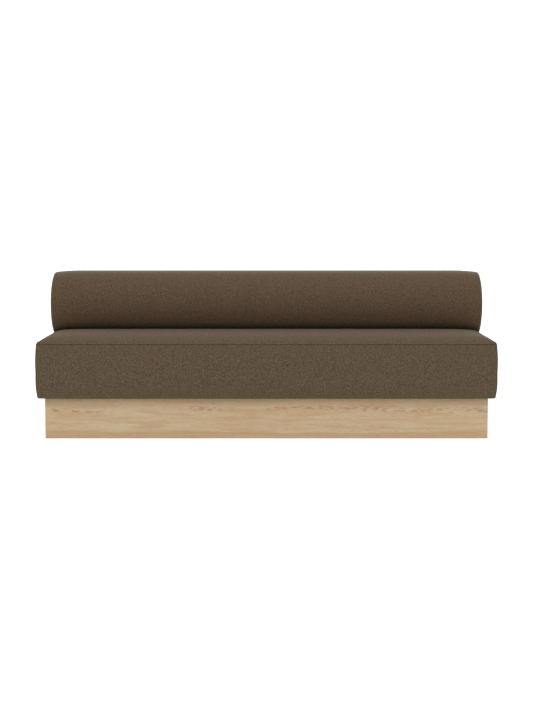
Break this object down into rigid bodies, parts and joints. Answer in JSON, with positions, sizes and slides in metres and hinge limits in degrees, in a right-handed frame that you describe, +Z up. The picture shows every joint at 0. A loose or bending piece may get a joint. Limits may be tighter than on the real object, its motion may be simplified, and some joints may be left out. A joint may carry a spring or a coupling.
{
  "type": "upholstered banquette bench",
  "caption": "Long padded bench seat on a recessed wooden plinth, with a round bolster backrest along its rear.",
  "frame": {"origin": "on the floor, under the middle of the bench", "axes": "+X to the right as seen from the front, +Y from the front to the back, +Z up"},
  "size_m": [2.141, 0.769, 0.762],
  "materials": {
    "oak_veneer": "satin lacquered light oak",
    "plywood": "raw birch plywood",
    "softwood": "planed pine",
    "covering_cloth": "matt heathered brown wool weave",
    "foam": "open-cell foam",
    "webbing": "woven elastic jute webbing",
    "black_lining": "non-woven lining",
    "zinc_steel": "bright zinc plated",
    "black_plastic": "moulded nylon"
  },
  "bodies": {
    "bench": {"bolster_base_board": "plywood", "bolster_bolts": "zinc_steel", "bolster_cap_left": "covering_cloth", "bolster_cap_right": "covering_cloth", "bolster_core_skin": "plywood", "bolster_foam": "foam", "bolster_ribs": "plywood", "bolster_sleeve": "covering_cloth", "bolster_stringer_front": "softwood", "bolster_stringer_rear": "softwood", "bolster_stringer_top": "softwood", "bolster_tee_nuts": "zinc_steel", "bolster_washers": "zinc_steel", "dust_cover": "black_lining", "foot_blocks": "softwood", "levelling_nuts": "zinc_steel", "plinth_cleats": "softwood", "plinth_front_board": "oak_veneer", "plinth_left_board": "oak_veneer", "plinth_rear_board": "oak_veneer", "plinth_rib_centre": "plywood", "plinth_rib_left": "plywood", "plinth_rib_right": "plywood", "plinth_right_board": "oak_veneer", "riser_band": "covering_cloth", "riser_blocks": "softwood", "riser_rail_front": "softwood", "riser_rail_rear": "softwood", "seat_border_foam": "foam", "seat_corner_blocks": "softwood", "seat_cross_rail_centre": "softwood", "seat_cross_rail_left": "softwood", "seat_cross_rail_right": "softwood", "seat_fixing_screws": "zinc_steel", "seat_foam": "foam", "seat_front_panel": "covering_cloth", "seat_left_panel": "covering_cloth", "seat_rail_front": "softwood", "seat_rail_left": "softwood", "seat_rail_rear": "softwood", "seat_rail_right": "softwood", "seat_rear_panel": "covering_cloth", "seat_rear_struts": "softwood", "seat_right_panel": "covering_cloth", "seat_top_panel": "covering_cloth", "webbing_cross_straps": "webbing", "webbing_ledger": "softwood", "webbing_long_straps": "webbing"},
    "foot_pad_1": {"levelling_pad_1": "black_plastic"},
    "foot_screw_1": {"levelling_screw_1": "zinc_steel"},
    "foot_pad_2": {"levelling_pad_2": "black_plastic"},
    "foot_screw_2": {"levelling_screw_2": "zinc_steel"},
    "foot_pad_3": {"levelling_pad_3": "black_plastic"},
    "foot_screw_3": {"levelling_screw_3": "zinc_steel"},
    "foot_pad_4": {"levelling_pad_4": "black_plastic"},
    "foot_screw_4": {"levelling_screw_4": "zinc_steel"},
    "foot_pad_5": {"levelling_pad_5": "black_plastic"},
    "foot_screw_5": {"levelling_screw_5": "zinc_steel"},
    "foot_pad_6": {"levelling_pad_6": "black_plastic"},
    "foot_screw_6": {"levelling_screw_6": "zinc_steel"}
  },
  "joints": [
    {"name": "foot_1_height", "type": "slide", "parent": "bench", "child": "foot_pad_1", "axis": [0, 0, -1], "range_m": [0, 0.012]},
    {"name": "foot_1_turn", "type": "hinge", "parent": "foot_pad_1", "child": "foot_screw_1", "pos_m": [-0.986, -0.3, 0.008], "axis": [0, 0, -1], "range_deg": [0, 2880]},
    {"name": "foot_2_height", "type": "slide", "parent": "bench", "child": "foot_pad_2", "axis": [0, 0, -1], "range_m": [0, 0.012]},
    {"name": "foot_2_turn", "type": "hinge", "parent": "foot_pad_2", "child": "foot_screw_2", "pos_m": [-0.986, 0.3, 0.008], "axis": [0, 0, -1], "range_deg": [0, 2880]},
    {"name": "foot_3_height", "type": "slide", "parent": "bench", "child": "foot_pad_3", "axis": [0, 0, -1], "range_m": [0, 0.012]},
    {"name": "foot_3_turn", "type": "hinge", "parent": "foot_pad_3", "child": "foot_screw_3", "pos_m": [0, -0.3, 0.008], "axis": [0, 0, -1], "range_deg": [0, 2880]},
    {"name": "foot_4_height", "type": "slide", "parent": "bench", "child": "foot_pad_4", "axis": [0, 0, -1], "range_m": [0, 0.012]},
    {"name": "foot_4_turn", "type": "hinge", "parent": "foot_pad_4", "child": "foot_screw_4", "pos_m": [0, 0.3, 0.008], "axis": [0, 0, -1], "range_deg": [0, 2880]},
    {"name": "foot_5_height", "type": "slide", "parent": "bench", "child": "foot_pad_5", "axis": [0, 0, -1], "range_m": [0, 0.012]},
    {"name": "foot_5_turn", "type": "hinge", "parent": "foot_pad_5", "child": "foot_screw_5", "pos_m": [0.986, -0.3, 0.008], "axis": [0, 0, -1], "range_deg": [0, 2880]},
    {"name": "foot_6_height", "type": "slide", "parent": "bench", "child": "foot_pad_6", "axis": [0, 0, -1], "range_m": [0, 0.012]},
    {"name": "foot_6_turn", "type": "hinge", "parent": "foot_pad_6", "child": "foot_screw_6", "pos_m": [0.986, 0.3, 0.008], "axis": [0, 0, -1], "range_deg": [0, 2880]}
  ],
  "couplings": [
    {"joint": "foot_1_height", "follows": "foot_1_turn", "m_per_rad": 0.00023873},
    {"joint": "foot_2_height", "follows": "foot_2_turn", "m_per_rad": 0.00023873},
    {"joint": "foot_3_height", "follows": "foot_3_turn", "m_per_rad": 0.00023873},
    {"joint": "foot_4_height", "follows": "foot_4_turn", "m_per_rad": 0.00023873},
    {"joint": "foot_5_height", "follows": "foot_5_turn", "m_per_rad": 0.00023873},
    {"joint": "foot_6_height", "follows": "foot_6_turn", "m_per_rad": 0.00023873}
  ]
}
